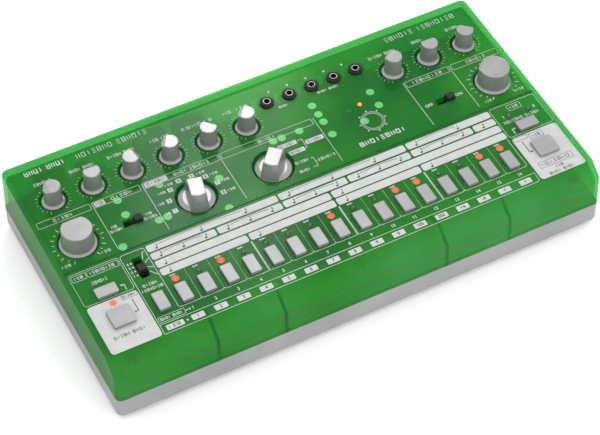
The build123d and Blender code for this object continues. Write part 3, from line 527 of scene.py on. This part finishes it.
# steps in a bar, and the row's lower edge, upper edge and steps from note to note
note_rows = {6: (-12.6, -7.7, 2), 3: (-18.6, -13.8, 1), 8: (-24.8, -19.7, 8), 4: (-30.7, -25.7, 4)}

row_bars = Print("row_bars", lower_level, white_ink)
row_notes = Print("row_notes", lower_level + over, dark_ink)


def draw_note(x, low, flagged):
    top = low + stem_rise
    stem = x + stem_aside
    row_notes.slab(disc(x, low + head_rise, head_radius, 14, head_squash))
    row_notes.stroke([(stem, low + head_rise), (stem, top)], stem_width)
    if flagged:
        row_notes.stroke([(stem, top), (x + 1.3, top - 0.8), (x + 1.2, top - 1.5)], flag_width)


def draw_bow(start, end, level):
    """Dashes from start to end that rise in the middle."""
    dashes = int((end - start) / dash_pitch)
    for dash in range(dashes):
        x = start + dash * dash_pitch
        y = level + bow_rise * sin(pi * dash / dashes)
        row_notes.slab(rounded(x, y, x + dash_length, y + dash_height))


for bar_steps, (low, high, spacing) in note_rows.items():
    short_notes = spacing < bar_steps
    for first in range(0, step_count, bar_steps):
        last = min(first + bar_steps, step_count)
        left = row_left if first == 0 else first_divider + step_pitch * first + row_gap / 2
        right = row_right if last == step_count else first_divider + step_pitch * last - row_gap / 2
        row_bars.slab(rounded(left, low, right, high, row_round))
        heads = step_x[first:last:spacing]
        for number, x in enumerate(heads):
            draw_note(x, low, short_notes and number != 1)
        if short_notes and len(heads) > 1:
            draw_bow(heads[0] + bow_inset[0], heads[-1] + bow_inset[1], high - bow_drop)
row_bars.lay()
row_notes.lay()

# ---------------------------------------------------------------- step frames and value strip
# Thin white frames part the sixteen step buttons, with thick lines between the beats and a
# number under each. The strip below holds one white box of digits for each button.
frame_top = -31.2
frame_floor = -53.9
frame_round = 1.3
beat_half = 0.45
step_word_y = -32.4
number_y = -57.4
strip_left = -117.2
strip_right = 117.5
strip_top = -60.2
strip_floor = -66.8
value_y = -63.5
value_low = -65.3
value_high = -61.7
tag_round = 0.3
white_box_round = 0.4
strip_labels = [*"123456789", "0", "100", "200", "+4", "-4", "<", ">"]

step_frames = Print("step_frames", lower_level, white_ink)
strip_ink = Print("strip_ink", lower_level + over, dark_ink)
bends = [(frame_round * (1 - sin(k * pi / 8)), frame_round * (1 - cos(k * pi / 8))) for k in range(5)]
for step, label in enumerate(strip_labels):
    left = first_divider + step_pitch * step
    right = left + step_pitch
    x = step_x[step]
    low_left = [(left + in_by, frame_floor + up_by) for up_by, in_by in bends]
    low_right = [(right - in_by, frame_floor + up_by) for in_by, up_by in bends]
    step_frames.stroke([(left, frame_top), *low_left, *low_right, (right, frame_top)])
    if step in (4, 8, 12):
        step_frames.slab(rounded(left - beat_half, frame_floor, left + beat_half, frame_top))
    step_frames.text(str(step + 1), x, number_y)
    step_frames.glyphs(x - 1.9, x + 1.8, step_word_y, (4,), 1.0)
    step_frames.slab(rounded(x - 3.65, value_low, x + 3.95, value_high, white_box_round))
    strip_ink.text(label, x + 0.15, value_y)

# the line round the scale switch, the lines round the strip, and its headings
step_frames.stroke([
    (strip_left, strip_floor), (strip_left, -8.9), (-116.2, -7.9), (-103.7, -7.9),
    (first_divider, -8.9), (first_divider, frame_top)])
step_frames.stroke([(strip_left, strip_top), (117.4, strip_top)])
step_frames.stroke([
    (strip_left, strip_floor), (116.4, strip_floor), (strip_right, -65.7), (strip_right, strip_top)])
step_frames.outline(-116.2, -59.1, -100.9, -55.3, tag_round)
step_frames.stroke([(-100.9, -57.3), (-98.9, -57.3)], bold_line)
step_frames.arrow(-97.3, -57.3, 1)
step_frames.glyphs(-115.2, -101.9, -57.2, (4, 4), small_word)
step_frames.slab(rounded(-114.7, value_low, -104.4, -61.8, white_box_round))
step_frames.arrow(-101.4, value_y, 1, 0.9)
step_frames.glyphs(-114.0, -105.5, step_word_y, (5,), small_word)
step_frames.glyphs(-116.4, -103.4, -35.7, (8,), small_word)
strip_ink.glyphs(-113.8, -105.5, value_y, (3,), middle_word)

# scale switch: a dot and a number for each place, and lines that bend to the four rows
scale_digit_x = -115.4
scale_digit_size = 2.4
scale_dot_x = -113.5
scale_dot_radius = 0.55
scale_line_x = -106.3
scale_bends = {
    -24.1: (-103.4, -28.2), -21.1: (-103.4, -22.4), -18.1: (-103.8, -16.2), -15.2: (-104.6, -10.6),
}
for number, (y, bend) in enumerate(scale_bends.items(), 1):
    step_frames.slab(disc(scale_dot_x, y, scale_dot_radius, 14))
    step_frames.text(str(number), scale_digit_x, y, scale_digit_size)
    step_frames.stroke([(scale_line_x, y), bend, (bend[0] + 0.9, bend[1])], mark_line)
step_frames.lay()
strip_ink.lay()

# ---------------------------------------------------------------- edge of the lower panel
# The lower panel is moulded a little higher than the upper one. A thin film of painted shade runs
# from side to side on the upper panel just behind the low step, for the shadow that the step casts.
edge_y = -5.5
edge_half = 150.0
edge_width = 0.65
edge_shade_paint = Paint("edge_shade", Roughness=0.5, Specular_IOR_Level=0.1)
edge_shade_paint.mottle((0.004, 0.05, 0.015), (0.008, 0.07, 0.02), 220.0)
edge_shadow_line = Print("edge_shadow_line", upper_level, edge_shade_paint)
edge_shadow_line.stroke([(-edge_half, edge_y), (edge_half, edge_y)], edge_width, lift=step_down + over)
edge_shadow_line.lay()

# ---------------------------------------------------------------- boxes beside the steps
# At each end of the step row a rounded outline holds a small button, and a large white
# printed plate holds the start button or the tap button with dark tags round it.
box_round = 1.6
label_round = 0.5
plate_round = 2.0
side_print = Print("side_print", lower_level, white_ink)
plate_ink = Print("plate_ink", lower_level + over, dark_ink)
side_print.outline(-147.8, -31.2, -118.4, -7.8, box_round)
side_print.outline(-146.8, -13.2, -138.5, -9.0, label_round)
side_print.outline(-137.8, -13.2, -119.3, -9.0, label_round)
side_print.glyphs(-136.5, -121.0, -11.1, (8,), middle_word)
side_print.glyphs(-145.7, -139.8, -11.1, (3,), middle_word)
side_print.glyphs(-138.0, -128.5, -18.0, (6,), large_word)
side_print.stroke([(-122.7, -30.0), (-122.7, -26.2)], bold_line)
side_print.arrow(-125.0, -26.2, -1)
side_print.stroke([(-122.7, -26.2), (-124.0, -26.2)], bold_line)
side_print.slab(rounded(-147.9, -66.7, -118.2, -32.3, plate_round))
plate_ink.outline(-127.8, -35.8, -118.6, -32.6, tag_round)
plate_ink.glyphs(-127.0, -119.4, -34.2, (5,), 1.6)
plate_ink.stroke([(-122.9, -37.0), (-122.9, -45.8), (-124.0, -45.8)], bold_line)
plate_ink.arrow(-125.3, -45.8, -1)
plate_ink.glyphs(-142.5, -123.7, -57.3, (5, 4), large_word)

side_print.outline(119.0, -31.3, 148.7, -7.5, box_round)
side_print.outline(129.7, -13.2, 138.2, -9.0, label_round)
side_print.glyphs(130.8, 137.0, -11.1, (3,), middle_word)
side_print.text("I", 124.0, -16.0)
side_print.text("II", 144.5, -16.0)
side_print.glyphs(122.0, 145.5, -20.3, (7, 5), large_word)
side_print.stroke([(123.7, -30.0), (123.7, -26.2), (124.9, -26.2)], bold_line)
side_print.arrow(126.1, -26.2, 1)
side_print.slab(rounded(119.0, -66.8, 148.7, -32.5, plate_round))
plate_ink.outline(119.6, -35.7, 128.5, -33.0, tag_round)
plate_ink.outline(129.7, -38.0, 138.0, -33.7, tag_round)
plate_ink.glyphs(131.0, 136.8, -35.8, (3,), large_word)
plate_ink.stroke([(123.7, -37.0), (123.7, -45.8), (124.9, -45.8)], bold_line)
plate_ink.arrow(126.1, -45.8, 1)
plate_ink.outline(123.0, -59.5, 144.8, -55.2, tag_round)
plate_ink.glyphs(124.5, 143.4, -57.3, (7,), large_word)
plate_ink.glyphs(131.0, 136.7, -61.6, (3,), middle_word)
plate_ink.glyphs(125.5, 142.2, -64.9, (4, 4), middle_word)
side_print.lay()
plate_ink.lay()

# ---------------------------------------------------------------- dial scales
# A ring of printed ticks goes round every level knob and large knob. A large knob's scale
# also has a slanting mark and a small word at each end.
knob_pitch = 24.25
column = [knob_joint["pos_m"][0] / MM + knob_pitch * i for i in range(12)]
row_back = 46.5
row_front = 12.5
dial_ticks = 21
dial_sweep = 300.0


def tick_ring_tree():
    """Geometry nodes that set ticks round a dial, every second one shorter."""
    tree = bpy.data.node_groups.new("dial_ticks", "GeometryNodeTree")
    kinds = {"Ticks": "Int", "Start": "Float", "Sweep": "Float", "Radius": "Float", "Long": "Float",
             "Short": "Float", "Width": "Float", "Ink": "Material"}
    sizes = {}
    for name, kind in kinds.items():
        socket = tree.interface.new_socket(name, in_out="INPUT", socket_type="NodeSocket" + kind)
        sizes[name] = socket.identifier
    tree.interface.new_socket("Geometry", in_out="OUTPUT", socket_type="NodeSocketGeometry")
    given = tree.nodes.new("NodeGroupInput").outputs

    def add(kind, inputs, **settings):
        node = tree.nodes.new(kind)
        for key, value in settings.items():
            setattr(node, key, value)
        for key, value in inputs.items():
            if isinstance(value, bpy.types.NodeSocket):
                tree.links.new(value, node.inputs[key])
            else:
                node.inputs[key].default_value = value
        return node.outputs[0]

    def sum_of(operation, *values):
        return add("ShaderNodeMath", dict(enumerate(values)), operation=operation)

    index = add("GeometryNodeInputIndex", {})
    share = sum_of("DIVIDE", index, sum_of("SUBTRACT", given["Ticks"], 1.0))
    angle = sum_of("ADD", given["Start"], sum_of("MULTIPLY", share, given["Sweep"]))
    odd = sum_of("MODULO", index, 2.0)
    cut = sum_of("MULTIPLY", odd, sum_of("SUBTRACT", given["Long"], given["Short"]))
    length = sum_of("SUBTRACT", given["Long"], cut)
    middle = sum_of("ADD", given["Radius"], sum_of("MULTIPLY", length, 0.5))
    place = add("ShaderNodeCombineXYZ", {
        "X": sum_of("MULTIPLY", sum_of("SINE", angle), middle),
        "Y": sum_of("MULTIPLY", sum_of("COSINE", angle), middle),
    })
    line = add("GeometryNodeMeshLine", {"Count": given["Ticks"]})
    points = add("GeometryNodeSetPosition", {"Geometry": line, "Position": place})
    bar = add("GeometryNodeMeshCube", {"Size": (1.0, 1.0, 1.0)})
    turn = add("ShaderNodeCombineXYZ", {"Z": sum_of("MULTIPLY", angle, -1.0)})
    size = add("ShaderNodeCombineXYZ", {"X": given["Width"], "Y": length, "Z": 1.5 * film})
    ticks = add("GeometryNodeInstanceOnPoints", {
        "Points": points, "Instance": bar, "Rotation": turn, "Scale": size,
    })
    real = add("GeometryNodeRealizeInstances", {"Geometry": ticks})
    inked = add("GeometryNodeSetMaterial", {"Geometry": real, "Material": given["Ink"]})
    tree.links.new(inked, tree.nodes.new("NodeGroupOutput").inputs["Geometry"])
    return tree, sizes


tick_tree, tick_inputs = tick_ring_tree()


def draw_ticks(ink, x, y, radius, long, short, width):
    seed = bpy.data.objects.new("tick_ring", bpy.data.meshes.new("tick_ring"))
    scene.collection.objects.link(seed)
    growth = seed.modifiers.new("growth", "NODES")
    growth.node_group = tick_tree
    values = {"Ticks": dial_ticks, "Start": radians(-dial_sweep / 2), "Sweep": radians(dial_sweep),
              "Radius": radius, "Long": long, "Short": short, "Width": width, "Ink": ink.paint.material}
    for name, value in values.items():
        growth[tick_inputs[name]] = value
    ink.add(plain_mesh(seed), x, y, film / 4)


dial_print = Print("dial_print", upper_level, white_ink)
dial_ink = Print("dial_ink", upper_level + over, dark_ink)
for index in (0, 1, 2, 3, 4, 5, 9, 10, 11):
    draw_ticks(dial_print, column[index], row_back, 8.9, long=1.4, short=0.8, width=0.22)
for x in (column[0], column[11]):
    draw_ticks(dial_print, x, row_front, 13.2, long=2.3, short=1.4, width=0.4)

# large knobs: end words and slanting end marks
for start, end in ((-148.2, -142.0), (-124.5, -118.3), (121.0, 125.7), (142.8, 147.7)):
    dial_print.glyphs(start, end, -0.2, (3,), small_word)
for left, right, rise in (
    (-140.8, -139.3, 0.8), (-126.5, -125.2, -0.8), (126.5, 128.0, 0.8), (140.7, 142.2, -0.8),
):
    dial_print.stroke([(left, -rise), (right, rise)], mark_line)

# ---------------------------------------------------------------- headings and words
# Thin printed lines part the upper panel into groups, each with its heading in a rounded box.
# Plain hollow shapes stand for the words at the knobs, switches and sockets.
group_lines = (-114.9, -84.0, -35.7, 25.5, 85.6, 116.4)
heading_low = 30.4
heading_high = 34.8
heading_round = 0.6
heading_y = (heading_low + heading_high) / 2
# a box from left to right: its word from left to right, and the shapes in it
heading_words = {
    (-148.5, -116.3): (-138.7, -126.8, (5,)),
    (-114.3, -85.8): (-103.5, -90.3, (5,)),
    (-83.3, -36.7): (-64.7, -42.0, (4, 6)),
    (-34.7, 24.0): (-11.0, 0.5, (4,)),
    (86.5, 115.3): (90.5, 111.5, (8,)),
    (117.7, 149.0): (127.3, 141.0, (6,)),
}
name_y = 61.0
# a knob's word from left to right, and the shapes in it
name_words = {
    (-138.5, -127.5): (6,), (-116.5, -101.0): (4, 4), (-93.0, -75.7): (5, 4),
    (-66.5, -54.0): (3, 3), (-46.5, -25.5): (6,), (-19.5, -3.0): (2, 3),
    (77.0, 95.5): (5, 4), (106.5, 113.5): (4,), (129.8, 138.0): (5,),
}
for x in group_lines:
    dial_print.stroke([(x, -2.0), (x, heading_high)])
for (left, right), (start, end, words) in heading_words.items():
    dial_print.outline(left, heading_low, right, heading_high, heading_round)
    dial_print.glyphs(start, end, heading_y, words, large_word)
dial_print.slab(rounded(-113.8, 30.9, -107.6, 34.3, white_box_round))
dial_print.slab(rounded(-82.8, 30.9, -69.0, 34.3, white_box_round))
dial_ink.glyphs(-113.0, -108.3, heading_y, (3,), small_word)
dial_ink.glyphs(-81.5, -70.2, heading_y, (5,), small_word)
for (start, end), words in name_words.items():
    dial_print.glyphs(start, end, name_y, words, large_word)

# slide switches
for start, end, y, shapes in (
    (-112.3, -108.8, 13.4, 3), (-113.8, -106.4, 10.5, 5), (-91.6, -87.2, 13.4, 3), (-93.2, -85.2, 10.5, 5),
):
    dial_print.glyphs(start, end, y, (shapes,), boxed_word)
switch_y = 12.3
dial_print.text("OFF", 90.7, switch_y)
dial_print.text("ON", 110.7, switch_y)

# instrument selector: eight numbered boxes round the skirt, and a small word beside each
instrument_boxes = {
    (-75.3, 8.2): (-82.5, -78.0), (-75.3, 16.2): (-82.5, -78.0),
    (-71.3, 23.3): (-79.0, -74.0), (-64.4, 27.2): (-73.0, -67.5),
    (-56.3, 27.2): (-53.5, -47.5), (-49.3, 23.3): (-46.8, -41.3),
    (-45.2, 16.2): (-42.8, -37.5), (-45.2, 8.2): (-42.8, -37.5),
}
box_half = 1.5
box_digit_size = 2.7
for number, ((x, y), (start, end)) in enumerate(instrument_boxes.items(), 1):
    dial_print.slab(rounded(x - box_half, y - box_half, x + box_half, y + box_half, tag_round))
    dial_ink.text(str(number), x, y, box_digit_size)
    dial_print.glyphs(start, end, y, (3,))

# mode selector: boxed and plain words joined in pairs by brackets
mode_boxes = {
    (-3.0, 21.6, 8.7, 24.6): (-2.0, 7.8, 5),
    (1.0, 14.9, 10.7, 17.9): (2.0, 9.8, 4),
    (13.3, 18.3, 24.5, 21.5): (14.3, 23.6, 5),
}
for (left, low, right, high), (start, end, shapes) in mode_boxes.items():
    dial_print.slab(rounded(left, low, right, high, tag_round))
    dial_ink.glyphs(start, end, (low + high) / 2, (shapes,), boxed_word)
for bracket in (
    [(9.0, 23.4), (12.2, 23.4), (12.2, 16.5), (11.0, 16.5)],
    [(12.2, 19.8), (13.3, 19.8)],
    [(10.2, 8.2), (11.7, 8.2), (11.7, 1.5), (8.3, 1.5)],
    [(11.7, 5.0), (12.6, 5.0)],
):
    dial_print.stroke(bracket)
for start, end, y, shapes in ((0.5, 9.0, 8.2, 5), (0.0, 7.0, 1.5, 4), (13.4, 25.0, 5.0, 6)):
    dial_print.glyphs(start, end, y, (shapes,), small_word)

# sockets: an arrow head behind each, and words in front
for x in (12.1, 24.3, 36.4, 48.5, 60.6):
    dial_print.slab([(x - 0.9, 65.2), (x, 63.6), (x + 0.9, 65.2)])
socket_word_y = 51.0
dial_print.glyphs(12.0, 18.0, socket_word_y, (4,))
dial_print.glyphs(37.5, 51.5, socket_word_y, (4, 4))

# plain headings at the back edge, and a plain drum head beside the selectors
drum_x = 55.6
drum_y = 17.0
lug_ring = 8.2
lug_radius = 0.5
lugs = 8
dial_print.glyphs(-140.0, -114.8, 71.0, (4, 4), 4.2, 0.6)
dial_print.glyphs(-108.3, -63.5, 70.0, (7, 6), 3.4, 0.34)
dial_print.glyphs(93.0, 141.3, 70.0, (6, 8), 3.4, 0.34)
for radius in (7.0, 5.9):
    dial_print.stroke(disc(drum_x, drum_y, radius, 40), closed=True)
for x, y in disc(drum_x, drum_y, lug_ring, lugs):
    dial_print.slab(disc(x, y, lug_radius, 12))
dial_print.glyphs(40.2, 70.5, 3.6, (9,), 3.4, 0.7)
dial_print.lay()
dial_ink.lay()

# ---------------------------------------------------------------- knobs and selectors
# Grey moulded plastic knobs push onto the shafts. Their tops are satin and shine under the
# softbox, and the mould leaves a faint grain on them.
knob_names = [name for name in nodes if name.startswith("knob_") or name.endswith(("_knob", "_selector"))]
knob_paint = Paint("knob_plastic", Roughness=0.22, Metallic=0.4)
knob_paint.mottle(grey(0.24), grey(0.28), 120.0)
knob_paint.bump(1800.0, 0.08, 0.05 * MM)
dress(knob_paint, *knob_names)

# ---------------------------------------------------------------- buttons and switch levers
# The buttons are grey moulded caps with a satin finish, each on the plunger of its switch. The
# levers and the bodies of the slide switches and the power rocker are black moulded plastic.
button_names = [name for name in nodes if name.endswith("_button") or name.startswith("step_button")]
button_paint = Paint("button_plastic", Roughness=0.3, Metallic=0.4)
button_paint.mottle((0.23, 0.235, 0.235), (0.27, 0.275, 0.27), 90.0)
button_paint.bump(2200.0, 0.15, 0.05 * MM)
dress(button_paint, *button_names)

lever_names = [name for name in nodes if name.endswith(("_slider", "_rocker"))]
lever_paint = Paint("lever_plastic", Roughness=0.4, Specular_IOR_Level=0.15)
lever_paint.mottle((0.012, 0.01, 0.009), (0.022, 0.019, 0.018), 400.0)
dress(lever_paint, *lever_names, "slide_switch_bodies")

# ---------------------------------------------------------------- lamps
# Each lamp is a small epoxy dome on the main board that stands up through the panel. The lamps
# that are on glow red, the tempo lamp orange, and a faint red film of painted glow lies round each
# red one, for the light that it spills on the panel.
lit_steps = (1, 3, 8, 11, 12, 15, 16)
start_lamp = (-133.2, -35.0)
step_lamp_y = -35.3
step_lamps_front = -30.0
left_of_steps = 20.0
hidden_below = -0.9
halo_radii = (2.2, 1.85)


def lamp_paint(name, dull, bright, glow):
    paint = Paint(name, Roughness=0.25, Emission_Strength=1.0, Emission_Color=glow)
    paint.mottle(dull, bright, 400.0)
    return paint


lamp_paints = (
    lamp_paint("lamp_off", (0.06, 0.06, 0.055), (0.09, 0.09, 0.08), (0.0, 0.0, 0.0)),
    lamp_paint("lamp_red", (0.20, 0.02, 0.01), (0.30, 0.03, 0.02), (0.86, 0.13, 0.08)),
    lamp_paint("lamp_orange", (0.25, 0.12, 0.01), (0.35, 0.16, 0.02), (0.8, 0.32, 0.02)),
)


def lamp_state(spot, normal):
    """Off, red or orange, from where a lamp stands; only what is above the panel glows."""
    step = 1 + round((spot.x - step_x[0]) / (step_x[1] - step_x[0]))
    if panel_up.dot(spot - panel_origin / MM) < hidden_below:
        return 0
    if spot.y > 0:
        return 2
    lit = step in lit_steps or spot.x < step_x[0] - left_of_steps
    return int(lit and spot.y < step_lamps_front)


sorted_copy("lamps", "leds", lamp_paints, lamp_state)

# Painted light: a glowing red film on the panel round each lit lamp.
halo_glow_paint = Paint("lamp_halo", Roughness=0.6, Alpha=0.35, Emission_Strength=0.9)
halo_glow_paint.mottle((0.3, 0.04, 0.02), (0.4, 0.05, 0.03), 400.0)
halo_glow_paint.set(Emission_Color=(0.9, 0.16, 0.08))
halos = Print("lamp_halos", lower_level + 2 * over, halo_glow_paint)
for x, y in [(step_x[step - 1], step_lamp_y) for step in lit_steps] + [start_lamp]:
    for radius in halo_radii:
        halos.slab(disc(x, y, radius, 20))
halos.lay()

# ---------------------------------------------------------------- sockets
# The jacks in the back wall and the USB socket are nickel-plated, and the other connectors are
# black moulded plastic. A bright ferrule shows as a thin rim in each socket of the panel.
jack_x = [7.1 + 14.7 * i for i in range(5)]
jack_y = 57.2
rim_radius = 2.05
rim_width = 0.26
rim_lift = 1.9

socket_paint = Paint("socket_metal", Metallic=1.0, Base_Color=(0.42, 0.41, 0.39))
socket_paint.set(Roughness=socket_paint.noise(700.0) * 0.25 + 0.15)
dress(socket_paint, "rear_jacks", "usb_socket")
connector_paint = Paint("connector_black", Roughness=0.35, Specular_IOR_Level=0.15)
connector_paint.mottle(grey(0.006), grey(0.012), 500.0)
dress(connector_paint, "midi_sockets", "dc_inlet", "power_switch_body", "jack_nuts", "panel_jacks")

rim_paint = Paint("rim_metal", Metallic=1.0, Base_Color=(0.45, 0.43, 0.41))
rim_paint.set(Roughness=rim_paint.noise(700.0) * 0.25 + 0.25)
jack_rims = Print("jack_rims", upper_level, rim_paint)
for x in jack_x:
    jack_rims.stroke(disc(x, jack_y, rim_radius), rim_width, closed=True, lift=rim_lift)
jack_rims.lay()
